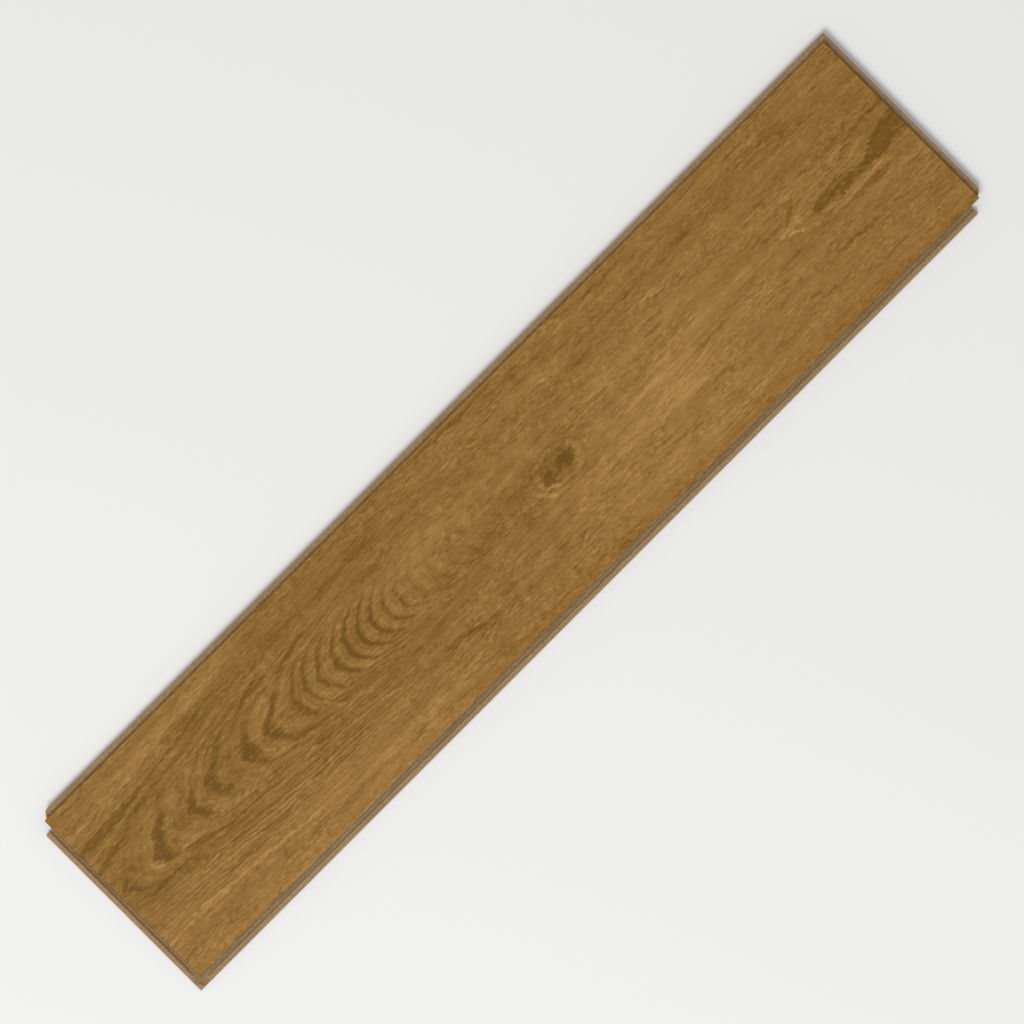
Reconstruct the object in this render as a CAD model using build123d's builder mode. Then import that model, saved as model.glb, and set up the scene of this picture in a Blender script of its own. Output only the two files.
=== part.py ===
from build123d import *
import os
from math import radians, sqrt, tan

# A laminate floor plank for laying in herringbone: one pressed board, milled on
# all four edges with a click joint. The origin is on the underside, below the
# middle of the walking face. X runs along the plank, Y across it and Z up. The
# tongues are on the +X end and the +Y side, the grooves on the other two.

# The board.
face_length = 665.0
face_width = 133.0
thickness = 8.0
edge_break = 0.2

# The groove: an upper lip, a dished floor and a lower lip that reaches out
# under the neighbouring plank and ends in a hook.
upper_lip = 2.7
lower_lip = 1.8
dish_radius = 8.0
lead_in = 0.5
groove_corner = 0.5
lip_reach = 6.4
lip_nose = 1.6
lock_offset = 2.6
lock_height = 0.65
lock_angle = 55.0
hook_width = 1.5

# The tongue, and the pocket behind it that drops over the neighbour's hook.
tongue_reach = 4.2
nose_radius = 0.8
root_radius = 0.3
pocket_corner = 0.4

# Clearances between two planks clicked together. Their joint faces touch.
fit = 0.05
nose_gap = 0.3
hook_gap = 0.25
lip_gap = 0.4


def dish_height(offset, gap=0.0):
    """Height of the dish at a distance from the joint line, raised by a gap."""
    radius = dish_radius - gap
    return lower_lip + dish_radius - sqrt(radius**2 - offset**2)


def limited(radius, wall):
    """A corner radius that two corners of one wall can both have."""
    return min(radius, 0.45 * wall)


# Heights and offsets from the joint line that both halves of the joint share.
lock_run = lock_height / tan(radians(lock_angle))
hook_top = dish_height(lock_offset) + lock_height
groove_roof = thickness - upper_lip
groove_depth = tongue_reach + nose_gap
groove_floor = dish_height(groove_depth)
tongue_top = groove_roof - fit
tongue_under = dish_height(tongue_reach, fit)
belly_offset = lock_offset - fit
belly_foot = dish_height(belly_offset, fit)
pocket_roof = hook_top + hook_gap
pocket_run = (pocket_roof - belly_foot) / tan(radians(lock_angle))
pocket_reach = lip_reach + lip_gap


def milled_section(plane, face_span):
    """The board's section between two milled edges: groove at -, tongue at +."""
    tongue_line = face_span / 2
    groove_line = -face_span / 2
    crown_start = groove_line - lock_offset - lock_run
    groove_end = groove_line + groove_depth
    pocket_wall = tongue_line - pocket_reach

    with BuildSketch(plane) as section:
        with BuildLine():
            # The walking face, its broken edge, the joint face and the tongue.
            Polyline(
                (groove_line + edge_break, thickness),
                (tongue_line - edge_break, thickness),
                (tongue_line, thickness - edge_break),
                (tongue_line, tongue_top),
                (tongue_line + tongue_reach, tongue_top),
                (tongue_line + tongue_reach, tongue_under),
            )
            ThreePointArc(
                (tongue_line + tongue_reach, tongue_under),
                (tongue_line, dish_height(0, fit)),
                (tongue_line - belly_offset, belly_foot),
            )
            # The pocket, the underside, and the lower lip with its hook.
            Polyline(
                (tongue_line - belly_offset, belly_foot),
                (tongue_line - belly_offset - pocket_run, pocket_roof),
                (pocket_wall, pocket_roof),
                (pocket_wall, 0),
                (groove_line - lip_reach, 0),
                (groove_line - lip_reach, lip_nose),
                (crown_start - hook_width, hook_top),
                (crown_start, hook_top),
                (groove_line - lock_offset, dish_height(lock_offset)),
            )
            ThreePointArc(
                (groove_line - lock_offset, dish_height(lock_offset)),
                (groove_line, lower_lip),
                (groove_end, groove_floor),
            )
            # The groove and the upper lip.
            Polyline(
                (groove_end, groove_floor),
                (groove_end, groove_roof),
                (groove_line + lead_in, groove_roof),
                (groove_line, groove_roof + lead_in),
                (groove_line, thickness - edge_break),
                (groove_line + edge_break, thickness),
            )
        make_face()
        fillet(
            section.vertices().group_by(Axis.X)[-1],
            radius=limited(nose_radius, tongue_top - tongue_under),
        )
        fillet(
            section.vertices().sort_by_distance((groove_end, groove_roof))[:1]
            + section.vertices().sort_by_distance((groove_end, groove_floor))[:1],
            radius=limited(groove_corner, groove_roof - groove_floor),
        )
        fillet(
            section.vertices().sort_by_distance((tongue_line, tongue_top))[:1],
            radius=limited(root_radius, tongue_reach),
        )
        fillet(
            section.vertices().sort_by_distance((pocket_wall, pocket_roof))[:1],
            radius=limited(pocket_corner, pocket_roof),
        )
    return section.sketch


# The long edges are milled first, along the whole blank, and the ends are then
# milled across it, so the plank is what the two sections have in common.
blank_length = face_length + 2 * (tongue_reach + lip_reach)
blank_width = face_width + 2 * (tongue_reach + lip_reach)

with BuildPart() as milled_blank:
    extrude(milled_section(Plane.YZ, face_width), amount=blank_length / 2, both=True)
    extrude(
        milled_section(Plane.XZ, face_length),
        amount=blank_width / 2,
        both=True,
        mode=Mode.INTERSECT,
    )

# Where a lip runs out under a tongue corner the second cut leaves a loose crumb
# of its hook, which falls away, so the plank is the large solid.
with BuildPart() as plank:
    add(milled_blank.solids().sort_by(SortBy.VOLUME)[-1])

plank.part.label = "plank"

os.makedirs("parts", exist_ok=True)
export_step(plank.part, "parts/plank.step")
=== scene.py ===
import bmesh
import bpy
from math import atan2, hypot, pi, radians
from mathutils import Matrix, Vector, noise


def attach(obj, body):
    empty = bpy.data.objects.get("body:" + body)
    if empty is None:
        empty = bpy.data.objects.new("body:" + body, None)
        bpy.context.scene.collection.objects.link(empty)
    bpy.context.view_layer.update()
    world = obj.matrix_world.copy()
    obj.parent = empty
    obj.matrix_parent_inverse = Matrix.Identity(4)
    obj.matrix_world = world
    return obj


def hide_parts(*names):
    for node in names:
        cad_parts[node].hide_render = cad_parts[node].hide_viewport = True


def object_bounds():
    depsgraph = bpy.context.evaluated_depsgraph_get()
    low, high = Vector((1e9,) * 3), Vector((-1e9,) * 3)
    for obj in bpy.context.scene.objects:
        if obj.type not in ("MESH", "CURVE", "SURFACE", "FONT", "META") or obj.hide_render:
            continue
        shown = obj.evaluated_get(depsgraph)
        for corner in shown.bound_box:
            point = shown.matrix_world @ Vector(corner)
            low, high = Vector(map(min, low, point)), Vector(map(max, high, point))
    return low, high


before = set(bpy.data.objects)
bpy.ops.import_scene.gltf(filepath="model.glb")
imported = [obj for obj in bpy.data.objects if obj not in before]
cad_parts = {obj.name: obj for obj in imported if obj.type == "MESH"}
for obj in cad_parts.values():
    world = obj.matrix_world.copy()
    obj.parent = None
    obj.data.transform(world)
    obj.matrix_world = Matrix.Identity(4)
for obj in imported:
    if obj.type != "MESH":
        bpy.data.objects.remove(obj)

cad_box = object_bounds()

# The view looks straight down on the plank, which runs from lower left to upper
# right across the picture, as every other plank of a herringbone floor does.
view_across = 0.62
camera_height = 2.4
sensor_mm = 36.0
lay_angle = radians(45)

camera = bpy.data.objects.new("camera", bpy.data.cameras.new("camera"))
camera.data.sensor_width = sensor_mm
camera.data.lens = sensor_mm * camera_height / view_across
camera.location = ((cad_box[0] + cad_box[1]) / 2).to_2d().to_3d()
camera.location.z = camera_height
camera.rotation_euler.z = -lay_angle
bpy.context.scene.collection.objects.link(camera)
bpy.context.scene.camera = camera
bpy.context.scene.view_settings.view_transform = "Standard"


# The studio is a pale, matt floor under an even white sky, with one broad soft
# lamp from the side, which gives the board's edges a light and a shadow.
floor_half_width = 4.0
floor_drop = 0.00005
floor_colour = (0.86, 0.86, 0.85, 1)
sky_level = 0.52
lamp_power = 195.0
lamp_size = 2.4
lamp_bearing = radians(205)
lamp_lean = radians(42)
lamp_distance = 5.5

floor_mesh = bmesh.new()
bmesh.ops.create_grid(floor_mesh, x_segments=1, y_segments=1, size=floor_half_width)
bmesh.ops.translate(floor_mesh, verts=floor_mesh.verts, vec=(0, 0, -floor_drop))
floor = bpy.data.objects.new("studio_floor", bpy.data.meshes.new("studio_floor"))
floor_mesh.to_mesh(floor.data)
floor_mesh.free()
bpy.context.scene.collection.objects.link(floor)
floor_paint = bpy.data.materials.new("studio_floor_paint")
floor_paint.use_nodes = True
floor_shader = floor_paint.node_tree.nodes["Principled BSDF"]
floor_shader.inputs["Base Color"].default_value = floor_colour
floor_shader.inputs["Roughness"].default_value = 0.9
floor_shader.inputs["Specular IOR Level"].default_value = 0.0
floor.data.materials.append(floor_paint)

sky = bpy.data.worlds.new("studio_sky")
sky.use_nodes = True
sky.node_tree.nodes["Background"].inputs["Strength"].default_value = sky_level
sky.node_tree.nodes["Background"].inputs["Color"].default_value = (1, 1, 1, 1)
bpy.context.scene.world = sky

lamp = bpy.data.objects.new("soft_lamp", bpy.data.lights.new("soft_lamp", "AREA"))
lamp.data.energy = lamp_power
lamp.data.size = lamp_size
lamp_turn = Matrix.Rotation(lamp_bearing, 4, "Z") @ Matrix.Rotation(lamp_lean, 4, "Y")
lamp.matrix_world = lamp_turn @ Matrix.Translation((0, 0, lamp_distance))
bpy.context.scene.collection.objects.link(lamp)


# The plank is one board of high-density fibreboard, pressed with its papers and
# milled on all four edges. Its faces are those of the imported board, merged, so
# that the milled profile keeps its real size.
MILLIMETRE = 0.001
merge_distance = 0.001 * MILLIMETRE
flat_angle = radians(1)
skin = 0.1 * MILLIMETRE
facing = 0.99

board = bmesh.new()
board.from_mesh(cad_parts["plank"].data)
bmesh.ops.remove_doubles(board, verts=board.verts, dist=merge_distance)
bmesh.ops.dissolve_limit(board, angle_limit=flat_angle, verts=board.verts, edges=board.edges)

DECOR, CORE, BACKING = range(3)
for face in board.faces:
    height = face.calc_center_median().z
    face.material_index = CORE
    if face.normal.z > facing and height > cad_box[1].z - skin:
        face.material_index = DECOR
    if face.normal.z < -facing and height < skin:
        face.material_index = BACKING
    face.select_set(face.material_index == CORE)

plank = bpy.data.objects.new("laminate_plank", bpy.data.meshes.new("laminate_plank"))
board.to_mesh(plank.data)
board.free()
bpy.context.scene.collection.objects.link(plank)

# Its map gives the milled edges the lowest strip, the underside the next one, and
# all the rest to the walking face, stretched across the grain, which is finest.
edge_strip = 0.20
underside_strip = 0.10
map_margin = 0.004
seam_angle = radians(80)
plank.data.uv_layers.new(name="OFBake")
bpy.context.view_layer.objects.active = plank
plank.select_set(True)
bpy.ops.object.mode_set(mode="EDIT")
bpy.ops.uv.smart_project(angle_limit=seam_angle, island_margin=map_margin)
bpy.ops.object.mode_set(mode="OBJECT")

board = bmesh.new()
board.from_mesh(plank.data)
face_map = board.loops.layers.uv["OFBake"]
edge_loops = [loop for face in board.faces if face.material_index == CORE for loop in face.loops]
spots = [loop[face_map].uv.copy() for loop in edge_loops]
low = (min(s.x for s in spots), min(s.y for s in spots))
high = (max(s.x for s in spots), max(s.y for s in spots))
for loop in edge_loops:
    spot = loop[face_map].uv
    spot.x = map_margin + (1 - 2 * map_margin) * (spot.x - low[0]) / (high[0] - low[0])
    spot.y = map_margin + (edge_strip - 2 * map_margin) * (spot.y - low[1]) / (high[1] - low[1])


# The press plate embosses the walking face with shallow pores and brush marks
# along the grain, so that face is divided finely and pressed down in them.
cells_along = 240
cells_across = 380
press_depth = 0.07 * MILLIMETRE


def grain(x, y, length, width, seed):
    """Noise from -1 to 1 in streaks of a length and a width in millimetres."""
    return noise.noise((x / length, y / width, seed))


def pressed_grain(x, y):
    """How deep the plate marks the face at a place in millimetres, from 0 to 1."""
    y = y + 4.0 * grain(x, y, 90, 40, 3.3)
    brushed = grain(x, y, 45, 2.4, 6.1)
    fine = grain(x, y, 16, 0.9, 2.7)
    pores = grain(x, y, 9, 0.75, 4.4)
    depth = 0.30 + 0.35 * brushed + 0.25 * fine + 1.2 * max(0.0, pores - 0.22)
    return min(1.0, max(0.0, depth))


def runs_along(edge):
    """Whether an edge lies along the board."""
    way = edge.verts[1].co - edge.verts[0].co
    return abs(way.x) > abs(way.y)


def walking_edges():
    """The edges round and within the walking face."""
    return {edge for face in board.faces if face.material_index == DECOR for edge in face.edges}


sides = [edge for edge in walking_edges() if runs_along(edge)]
bmesh.ops.subdivide_edges(board, edges=sides, cuts=cells_along - 1)
rungs = [edge for edge in walking_edges() if not runs_along(edge)]
bmesh.ops.subdivide_edges(board, edges=rungs, cuts=cells_across - 1)

walking_faces = [face for face in board.faces if face.material_index == DECOR]
press = board.verts.layers.float.new("press")
for vert in {vert for face in walking_faces for vert in face.verts}:
    vert[press] = pressed_grain(vert.co.x / MILLIMETRE, vert.co.y / MILLIMETRE)
    vert.co.z -= press_depth * vert[press]

decor_foot = edge_strip + underside_strip
strips = {DECOR: (decor_foot, 1.0), BACKING: (edge_strip, decor_foot)}
board_low, board_high = cad_box
for face in board.faces:
    face.smooth = True
    if face.material_index in strips:
        bottom, top = strips[face.material_index]
        for loop in face.loops:
            across_share = (loop.vert.co.y - board_low.y) / (board_high.y - board_low.y)
            along_share = (loop.vert.co.x - board_low.x) / (board_high.x - board_low.x)
            loop[face_map].uv = (along_share, bottom + (top - bottom) * across_share)

smooth_angle = radians(32)
for edge in board.edges:
    edge.smooth = edge.calc_face_angle(pi) < smooth_angle
board.normal_update()
board.to_mesh(plank.data)
board.free()


# The decor is a matt print of flat-sawn oak under a clear wear layer. Its shader
# follows the tree: growth rings about a wandering pith, cut by the board's face.
class Wire:
    """An output socket. Arithmetic on it adds Math nodes, and node() any other."""

    def __init__(self, socket):
        self.socket = socket

    def node(self, kind, settings, sockets, output=0):
        tree = self.socket.id_data
        made = tree.nodes.new(kind)
        for name, value in settings.items():
            if name == "stops":
                ramp = made.color_ramp
                for place, colour in value[1:-1]:
                    ramp.elements.new(place).color = colour
                for end in (0, -1):
                    ramp.elements[end].position, ramp.elements[end].color = value[end]
            else:
                setattr(made, name, value)
        for name, value in sockets.items():
            named = [s for s in made.inputs if s.enabled and s.name == name]
            entry = named[0] if named else made.inputs[name]
            if isinstance(value, Wire):
                tree.links.new(value.socket, entry)
            else:
                entry.default_value = value
        return Wire(made.outputs[output])

    def math(self, operation, *others):
        values = dict(enumerate((self, *others)))
        return self.node("ShaderNodeMath", {"operation": operation}, values)

    def __add__(self, other):
        return self.math("ADD", other)

    __radd__ = __add__

    def __mul__(self, other):
        return self.math("MULTIPLY", other)

    __rmul__ = __mul__

    def __neg__(self):
        return self * -1.0

    def __sub__(self, other):
        return self.math("SUBTRACT", other)

    def __rsub__(self, other):
        return -self + other

    def __truediv__(self, other):
        return self.math("DIVIDE", other)


def new_finish(name):
    """A material, its shader, and the place on the board in millimetres."""
    finish = bpy.data.materials.new(name)
    finish.use_nodes = True
    shader = finish.node_tree.nodes["Principled BSDF"]
    place = Wire(finish.node_tree.nodes.new("ShaderNodeTexCoord").outputs["Object"])
    enlarged = {"Vector": place, "Scale": 1 / MILLIMETRE}
    place = place.node("ShaderNodeVectorMath", {"operation": "SCALE"}, enlarged)
    parts = place.node("ShaderNodeSeparateXYZ", {}, {"Vector": place})
    along, across, up = (Wire(part) for part in parts.socket.node.outputs)
    return finish, shader, along, across, up


def streaks(along, across, length, width, seed, detail=2.0, rough=0.5):
    """Noise from 0 to 1 in streaks of a length and a width in millimetres."""
    place = {"X": along / length, "Y": across / width, "Z": seed}
    point = along.node("ShaderNodeCombineXYZ", {}, place)
    cloud = {"Vector": point, "Scale": 1.0, "Detail": detail, "Roughness": rough}
    return point.node("ShaderNodeTexNoise", {}, cloud, "Fac")


def rise(value, low, high, smooth=True):
    """0 below low, 1 above high, and eased or straight between."""
    kind = {"interpolation_type": "SMOOTHSTEP" if smooth else "LINEAR"}
    return value.node("ShaderNodeMapRange", kind, {"Value": value, "From Min": low, "From Max": high})


def patch(along, across, middle, half_length, half_width):
    """A soft oval spot, 1 at its middle."""
    ahead = (along - middle[0]) / half_length
    aside = (across - middle[1]) / half_width
    return (-(ahead * ahead + aside * aside)).math("EXPONENT")


def mark(point, start, end, half_width):
    """A soft oval from one place to another in a point's plane, 1 in its middle."""
    run = (end[0] - start[0], end[1] - start[1])
    lie = {
        "Vector": point,
        "Location": (start[0] + run[0] / 2, start[1] + run[1] / 2, 0),
        "Rotation": (0, 0, atan2(run[1], run[0])),
        "Scale": (0.6 * hypot(*run) + 2 * half_width, 1.25 * half_width, 1),
    }
    within = point.node("ShaderNodeMapping", {"vector_type": "TEXTURE"}, lie)
    ball = {"gradient_type": "SPHERICAL"}
    nearness = within.node("ShaderNodeTexGradient", ball, {"Vector": within}, "Fac")
    return rise(nearness, 0.0, 0.6)


def blend(factor, first, second):
    """A colour between two colours."""
    colours = {"Factor": factor, "A": first, "B": second}
    return factor.node("ShaderNodeMix", {"data_type": "RGBA"}, colours, "Result")


oak_decor, oak_shader, along, across, _ = new_finish("oak_decor")
pressed = along.node("ShaderNodeAttribute", {"attribute_name": "press"}, {}, "Fac")

# The wood wanders a little everywhere, and most round the middle of the board.
drift = (streaks(along, across, 150, 60, 3.1) - 0.5) * 9.0
ripple = (streaks(along, across, 26, 9, 5.7) - 0.5) * 7.0
tremble = (streaks(along, across, 9, 3.6, 10.6, 3.0, 0.6) - 0.5) * 7.0
curl = patch(along, across, (10, 0), 120, 48)

# The fibres run along the board, and part round a pin knot.
knot_place = (39.0, -1.0)
knot_wake = patch(along, across, knot_place, 34, 15)
wander = drift + ripple * (0.4 + 0.6 * curl) + tremble * (0.12 + 0.40 * curl)
flow = (across + wander) * (1.0 - 0.5 * knot_wake)

# The rings meet the face in nested arches that open towards +X, steep near the
# pith line and long drawn out beside it. A ring is told by where its arch has its
# vertex along the board, and the vertices are unevenly spaced.
pith_across = 12.0
pith_slope = 0.028
eye = patch(along, across, (-119, 9), 36, 20)
lane = across + drift + (ripple * 0.7 + tremble * 0.4) * (1.0 - 0.75 * eye)
off_pith = lane - (pith_across + pith_slope * along)
below = rise(-lane, 5, 65, smooth=False) * 180.0
below = below + rise(-lane, 11, 71, smooth=False) * 300.0
above = rise(lane, 28, 88, smooth=False) * 240.0
cusp = (off_pith * off_pith + 4.0).math("SQRT") * 0.45 * (1.0 - 0.9 * eye)
arch = cusp + off_pith * off_pith * (0.030 + 0.012 * eye) + below + above
jitter = (streaks(along, across, 34, 9, 9.4) - 0.5) * 16.0
vertex = along - arch + jitter * (1.0 - 0.75 * eye)
ring_vertices = list(range(-605, -345, 26))
ring_vertices += [-326, -295, -264, -245, -217, -198, -177, -166, -155, -141, -130, -119, -108, -97, -87]
ring_vertices += [-76, -64, -54, -41, -31, -18]
first_vertex = ring_vertices[0]
reach = ring_vertices[-1] - first_vertex
last_ring = len(ring_vertices) - 1
ladder = []
for ring, ring_vertex in enumerate(ring_vertices):
    ladder.append(((ring_vertex - first_vertex) / reach, (ring / last_ring,) * 3 + (1,)))
climb = (vertex - first_vertex) / reach
count = climb.node("ShaderNodeValToRGB", {"stops": ladder}, {"Fac": climb}, "Color")
turn = (count * last_ring + 0.5).math("FRACT")
late_wood = rise(turn, 0.24, 0.44) * (1.0 - rise(turn, 0.54, 0.70))
pale_edge = rise(turn, 0.76, 0.90) * (1.0 - rise(turn, 0.94, 1.0))

# The rings are strong in some places and fade out in others.
heart = patch(along, across, (-250, 14), 92, 24)
neck = patch(along, across, (-164, 4), 22, 16)
lower = patch(along, across, (-225, -28), 130, 20)
upper = patch(along, across, (-230, 38), 110, 12)
fading = patch(along, across, (-45, 2), 48, 20)
dark_rings = 1.70 * eye + 0.75 * heart + 0.55 * neck + 0.65 * lower + 0.35 * upper + 0.35 * fading
pale_rings = 0.90 * eye + 0.55 * heart + 0.60 * neck + 1.10 * lower + 0.25 * upper + 0.45 * fading
ring_depth = 0.23
pale_lift = 0.14

# The grain, from broad bands down to hairs, and specks, dashes and rays among it.
broad = streaks(along, flow, 240, 15, 1.3)
medium = streaks(along, flow, 80, 3.4, 2.4, 3.0)
fibre = streaks(along, flow, 24, 0.9, 4.9, 3.0, 0.6)
hair = streaks(along, flow, 9, 0.32, 6.1, 2.0)
mottle = streaks(along, across, 14, 9, 16.3, 3.0)
grit = streaks(along, flow, 4.2, 2.0, 30.1, 2.0, 0.6)
speckle = rise(streaks(along, flow, 4.0, 1.3, 17.7, 2.0), 0.38, 0.62)
dashes = rise(streaks(along, flow, 8.0, 0.8, 33.3, 2.0), 0.57, 0.68)
rays = rise(streaks(along, flow, 5.5, 1.1, 31.7, 2.0), 0.57, 0.68)

# Among the arches the grain follows them, and elsewhere it runs straight. It is
# calm in places and lively in others.
arches = patch(along, across, (-235, 4), 155, 46) + 0.4 * fading
lively = 0.55 + 0.90 * rise(streaks(along, across, 30, 13, 40.3), 0.36, 0.64)
straight = 0.36 * (fibre - 0.5) + 0.19 * (hair - 0.5)
straight = 0.34 * (medium - 0.5) + straight * lively
straight = straight * (0.82 - 0.34 * arches - 0.32 * curl - 0.20 * eye)
bent = 0.75 * (streaks(vertex, off_pith, 15.0, 40, 21.3, 4.0, 0.65) - 0.5)
bent = bent + 0.35 * (1.0 - 0.6 * eye) * (streaks(vertex, off_pith, 2.0, 9, 22.9, 2.0) - 0.5)
mean_tone = 0.535
tone = mean_tone + 0.26 * (broad - 0.5) + straight + bent * arches - 0.10 * (pressed - 0.3)
tone = tone + (0.22 + 0.20 * curl) * (mottle - 0.5)
tone = tone + lively * (0.44 * (grit - 0.5) + 0.09 * rays - 0.10 * dashes)
tone = tone - ring_depth * late_wood * dark_rings * (0.5 + 0.5 * speckle)
tone = tone + pale_lift * pale_edge * pale_rings * (0.5 + 0.5 * speckle)

# Broad lights and darks of the board: middle, half length, half width, lift.
broad_tones = [
    ((-220, -52), 170, 15, 0.09),
    ((130, -48), 110, 20, 0.07),
    ((125, -14), 75, 17, 0.13),
    ((100, 14), 130, 14, 0.06),
    ((-62, 18), 38, 12, 0.06),
    ((-250, 14), 120, 16, -0.06),
    ((-200, -16), 130, 14, -0.06),
    ((-110, 50), 140, 16, -0.08),
    ((320, -15), 75, 60, 0.04),
    ((-322, -8), 22, 18, -0.05),
    ((-62, -52), 24, 14, -0.06),
]
for middle, half_length, half_width, lift in broad_tones:
    tone = tone + lift * patch(along, across, middle, half_length, half_width)

# Golden flecks lie right of the middle.
fleck_lift = 0.16
golden = patch(along, across, (142, -9), 68, 19)
flecks = rise(streaks(along, flow, 26, 2.4, 12.6, 3.0, 0.6), 0.46, 0.66)
tone = tone + fleck_lift * golden * flecks

# Dark blots of late wood sit in the bends of the wide arches: the vertex of
# their arch, their place beside the pith line, and half their length and width.
blot_depth = 0.24
blots = [
    (-326, -2, 3, 7),
    (-295, 3, 6, 14),
    (-264, 0, 4, 9),
    (-246, 4, 7, 12),
    (-217, 0, 7, 11),
    (-198, 3, 5, 15),
]
for blot_vertex, beside, half_length, half_width in blots:
    blot = patch(vertex, off_pith, (blot_vertex, beside), half_length, half_width)
    tone = tone - blot_depth * rise(blot, 0.30, 0.65) * (0.45 + 0.55 * speckle)

# Single marks are as unsteady as the wood round them.
wavy_along = along + ripple * 1.5 + tremble * 1.6
wavy_across = across + ripple + tremble
wavy = along.node("ShaderNodeCombineXYZ", {}, {"X": wavy_along, "Y": wavy_across})

# Single lines of dark and pale wood: start, end, half width, lift.
lines = [
    ((-345, 45), (-175, 62), 4.4, 0.17),
    ((-345, 33), (-262, 42), 2.8, -0.26),
    ((-282, 38), (-210, 47), 4.0, -0.09),
    ((-340, 18), (-310, 25), 2.6, -0.28),
    ((-292, 33.5), (-283, 33.5), 1.8, -0.20),
    ((-211, 28), (-180, 38), 1.6, -0.18),
    ((-171, 30), (-137, 39), 1.8, -0.30),
    ((-345, -39.5), (-265, -39.5), 1.6, 0.22),
    ((-268, -40), (-190, -48), 2.0, 0.18),
    ((-195, -49), (-75, -55), 3.4, 0.13),
    ((-316, -10.5), (-303, -11), 1.6, -0.24),
    ((-346, -6), (-328, -7.5), 2.2, -0.19),
    ((-340, -22), (-325, -25), 2.0, -0.18),
    ((-346, -31), (-332, -30), 2.4, -0.12),
    ((-308, 1), (-298, -4), 1.6, 0.20),
    ((-292, -5.5), (-272, -7.5), 1.5, 0.17),
    ((-256, -4.5), (-241, -9), 1.5, 0.17),
    ((-236, -12), (-217, -15), 1.5, 0.18),
    ((-238, -18.5), (-221, -20), 1.4, 0.15),
    ((-236, -6), (-214, -9), 2.0, 0.17),
    ((-212, -17), (-192, -19), 1.4, 0.17),
    ((-176, 5), (-166, -6), 1.5, 0.19),
    ((-166, -6), (-151, -11.5), 1.5, 0.19),
    ((-161, 0), (-150, -6), 1.3, 0.15),
    ((-192, -4), (-172, -9), 1.6, -0.18),
    ((-184, -16), (-172, -18), 1.8, -0.20),
    ((-152, -11), (-135, -17.5), 1.6, 0.20),
    ((-136, -26), (-118, -29.5), 1.4, 0.19),
    ((-282, -31), (-246, -37), 1.6, -0.17),
    ((-242, -30), (-216, -33), 1.8, -0.17),
    ((-190, -33), (-158, -37), 1.8, -0.17),
    ((-308, -52), (-280, -60), 5.0, -0.08),
    ((-88, -32), (-66, -36), 2.4, -0.24),
    ((-66, -37.5), (-48, -38.5), 1.6, -0.18),
    ((-45, -31), (-18, -35), 1.8, -0.18),
    ((18, -3), (23, -10.5), 1.3, 0.22),
    ((23, -11), (33, -14.5), 1.3, 0.24),
    ((29, -7), (34, -9.5), 1.4, 0.24),
    ((48, -7.5), (54, -10), 1.4, 0.18),
    ((0, 14), (13, 14.5), 2.0, 0.15),
    ((25, -30), (34, -31), 1.4, 0.14),
    ((57, -23.5), (77, -23.5), 1.4, 0.18),
    ((88, 34.5), (100, 34.5), 1.6, -0.18),
    ((93, 58), (102, 58), 1.2, 0.16),
    ((112, 60.5), (152, 60), 1.6, -0.15),
    ((176, 45.5), (194, 43.5), 2.2, -0.18),
    ((216, 6), (230, 6.5), 1.4, -0.16),
    ((216, -13.2), (236, -13), 1.6, -0.15),
    ((290, 10.5), (300, 13), 1.6, -0.18),
    ((292, 5.5), (312, 11.5), 1.4, 0.18),
    ((-20, 63), (50, 63), 1.2, -0.18),
    ((-92, 48), (-75, 47), 2.5, -0.14),
    ((93, -41), (116, -41.5), 1.4, -0.16),
    ((131, -44.5), (148, -44.5), 1.6, -0.16),
    ((127, 34), (163, 33.5), 1.2, 0.20),
    ((127, 16), (142, 16), 1.2, -0.16),
    ((135, -11), (175, -11), 1.2, -0.20),
    ((46, -18), (62, -18.5), 1.2, 0.18),
    ((226, 5), (244, -7), 1.6, 0.22),
    ((232, 0), (254, -9), 1.8, 0.18),
    ((238, 2), (250, 3), 3.6, 0.12),
    ((240, 5), (251, 13), 1.8, -0.26),
    ((266, -10), (314, -10.4), 1.3, 0.22),
    ((240, -13.4), (322, -13.8), 1.5, -0.20),
    ((279, 13.5), (304, 14.5), 1.4, 0.18),
    ((296, 15), (345, 20), 1.6, -0.24),
    ((262, 20), (309, 21), 2.4, -0.13),
    ((256, -31), (282, -31.5), 1.7, -0.18),
    ((262, 52), (276, 50), 4.0, -0.13),
    ((318, 57), (338, 56), 3.0, -0.16),
]
drawn = sum(lift * mark(wavy, start, end, half_width) for start, end, half_width, lift in lines)
tone = tone + drawn * (0.55 + 0.45 * speckle)

# The innermost ring at the right end shows as a dark comet: a ragged head at the
# board's end, and a tail of broken spots before it.
head_depth = 0.31
tail_depth = 0.33
ragged = streaks(along, across, 3.0, 1.6, 35.2, 3.0, 0.65) - 0.5
head = mark(wavy, (304, -2.5), (330, 3), 5.5) + mark(wavy, (318, 2), (372, 7), 10.0)
tail = mark(wavy, (260, -0.5), (304, -4.5), 5.2)
tone = tone - head_depth * rise(head + ragged * 1.3, 0.30, 0.80) * (0.65 + 0.35 * speckle)
tone = tone - tail_depth * rise(tail + ragged * 1.6, 0.35, 0.95) * (0.40 + 0.60 * speckle)

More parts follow.
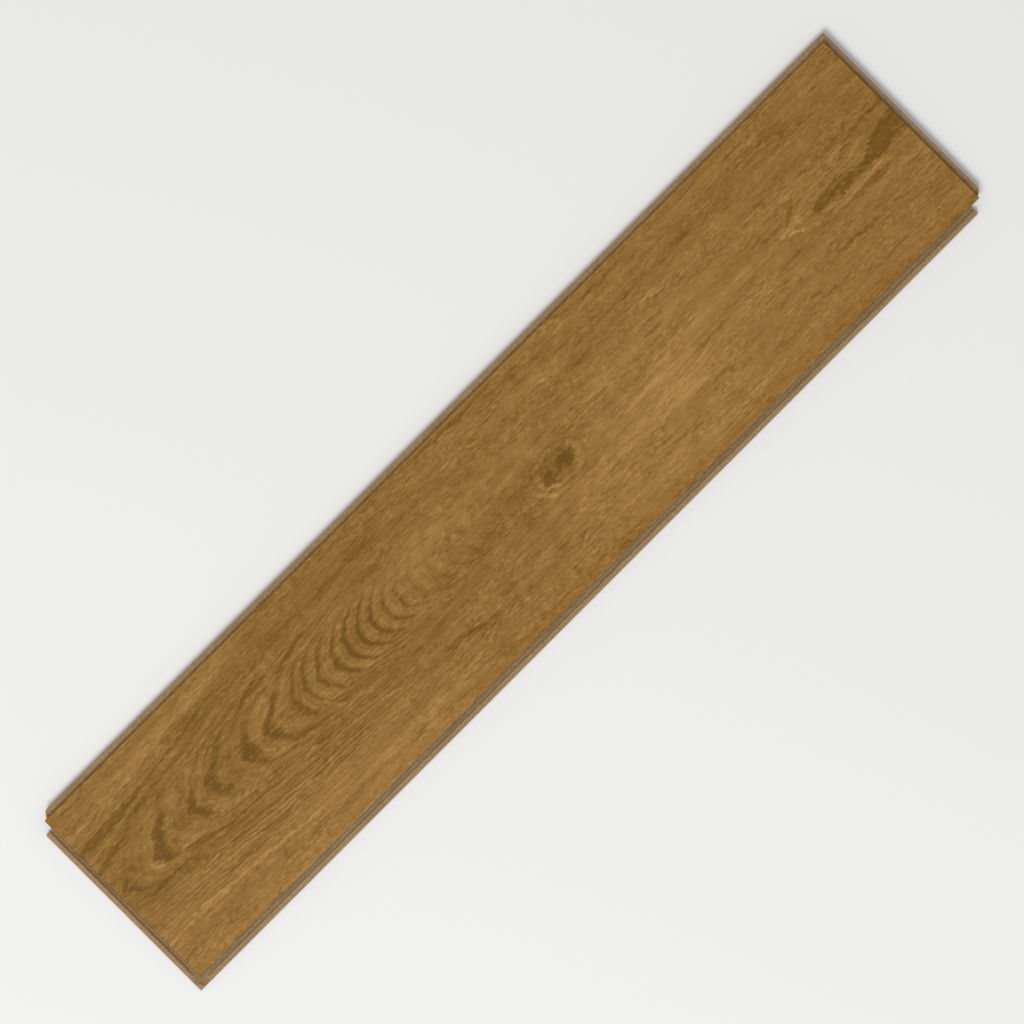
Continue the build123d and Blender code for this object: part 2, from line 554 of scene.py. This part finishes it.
# The knot: two dark cores in a brown halo, small rings of its own round them and
# pale, torn fibres below.
core_depth = 0.34
halo_depth = 0.10
knot_half_length = 15.0
knot_half_width = 9.0
knot_ring_lift = 0.06
torn_lift = 0.20
cores = patch(wavy_along, wavy_across, (45, -0.6), 6.0, 6.0)
cores = cores + patch(wavy_along, wavy_across, (31, -2), 4.4, 4.8)
tone = tone - core_depth * rise(cores + ragged * 1.2, 0.24, 0.80)
tone = tone - halo_depth * patch(along, across, (41, 1), 21, 10)
ahead = (wavy_along - knot_place[0]) / knot_half_length
aside = (wavy_across - knot_place[1]) / knot_half_width
knot_radius = (ahead * ahead + aside * aside).math("SQRT")
collar = rise(knot_radius, 0.75, 1.0) * (1.0 - rise(knot_radius, 1.2, 1.9))
knot_rings = (knot_radius * 13.0 + (mottle - 0.5) * 9.0).math("SINE")
tone = tone + knot_ring_lift * collar * knot_rings
torn = rise(streaks(along, across, 5, 2.2, 15.5, 2.0), 0.46, 0.60)
tone = tone + torn_lift * torn * patch(along, across, (27, -9), 12, 4.0)

contrast = 1.58
tone = 0.5 + contrast * (tone - 0.5)

oak_colours = [
    (0.00, (0.1540, 0.0710, 0.003, 1)),
    (0.25, (0.1985, 0.0940, 0.0075, 1)),
    (0.50, (0.2715, 0.1345, 0.0225, 1)),
    (0.75, (0.3475, 0.1830, 0.0415, 1)),
    (1.00, (0.4435, 0.2450, 0.0685, 1)),
]
wood = tone.node("ShaderNodeValToRGB", {"stops": oak_colours}, {"Fac": tone}, "Color")
pores = rise(streaks(along, flow, 6.0, 0.36, 14.8, 1.0), 0.62, 0.74)
deep = rise(pressed, 0.55, 0.95)
dark_pore = (0.088, 0.040, 0.004, 1)
wood = blend(pores * 0.45 + deep * 0.35, wood, dark_pore)
oak_decor.node_tree.links.new(wood.socket, oak_shader.inputs["Base Color"])

# The wear layer is duller where the plate has marked it.
matt_finish = 0.50
dullness = matt_finish + 0.12 * (medium - 0.5) + 0.10 * pores + 0.10 * deep
oak_decor.node_tree.links.new(dullness.socket, oak_shader.inputs["Roughness"])
relief = fibre * 0.5 + hair * 0.4 - pores * 0.8
raised = {"Strength": 0.35, "Distance": 0.04 * MILLIMETRE, "Height": relief}
bumped = relief.node("ShaderNodeBump", {}, raised)
oak_decor.node_tree.links.new(bumped.socket, oak_shader.inputs["Normal"])
oak_shader.inputs["Specular IOR Level"].default_value = 0.22
plank.data.materials.append(oak_decor)


# The core shows on the milled edges: brown fibreboard, densest and darkest near its
# faces and a little furry where the cutters passed, with the dark line of the
# resin-soaked decor paper at its top and the pale one of the backing at its foot.
half_thickness = 4.0
backing_top = 0.12
resin_foot = 7.70
bleed = 0.06
backing_pale = (0.430, 0.325, 0.215, 1)
resin_brown = (0.100, 0.052, 0.020, 1)
fibreboard, core_shader, along, across, up = new_finish("fibreboard")
felt = streaks(along, across, 1.5, 1.5, up / 0.5, 4.0, 0.7)
milling = streaks(along + across, up, 30, 0.35, 7.9)
from_middle = (up - half_thickness) / half_thickness
core_tone = 0.05 + felt * 0.65 + milling * 0.30 - 0.12 * from_middle * from_middle
core_colours = [
    (0.28, (0.175, 0.103, 0.046, 1)),
    (0.50, (0.310, 0.196, 0.098, 1)),
    (0.72, (0.430, 0.292, 0.160, 1)),
]
core = core_tone.node("ShaderNodeValToRGB", {"stops": core_colours}, {"Fac": core_tone}, "Color")
core = blend(rise(up, backing_top, backing_top + bleed), backing_pale, core)
core = blend(rise(up, resin_foot, resin_foot + bleed), core, resin_brown)
fibreboard.node_tree.links.new(core.socket, core_shader.inputs["Base Color"])
core_shader.inputs["Roughness"].default_value = 0.8
core_shader.inputs["Specular IOR Level"].default_value = 0.15
plank.data.materials.append(fibreboard)


# The backing is a plain brown balancing paper, pressed on against bowing. Its pulp
# shows as short, fine fibres that lie mostly along the board.
backing_paper, backing_shader, along, across, _ = new_finish("backing_paper")
cloud = streaks(along, across, 40, 25, 2.2)
pulp = streaks(along, across, 2.6, 0.8, 5.2, 4.0, 0.7)
paper_tone = 0.25 * cloud + 0.75 * pulp
backing_colours = [(0.32, (0.290, 0.205, 0.122, 1)), (0.66, backing_pale)]
backing = paper_tone.node("ShaderNodeValToRGB", {"stops": backing_colours}, {"Fac": paper_tone}, "Color")
backing_paper.node_tree.links.new(backing.socket, backing_shader.inputs["Base Color"])
backing_shader.inputs["Roughness"].default_value = 0.6
backing_shader.inputs["Specular IOR Level"].default_value = 0.2
plank.data.materials.append(backing_paper)

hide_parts("plank")
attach(plank, "root")
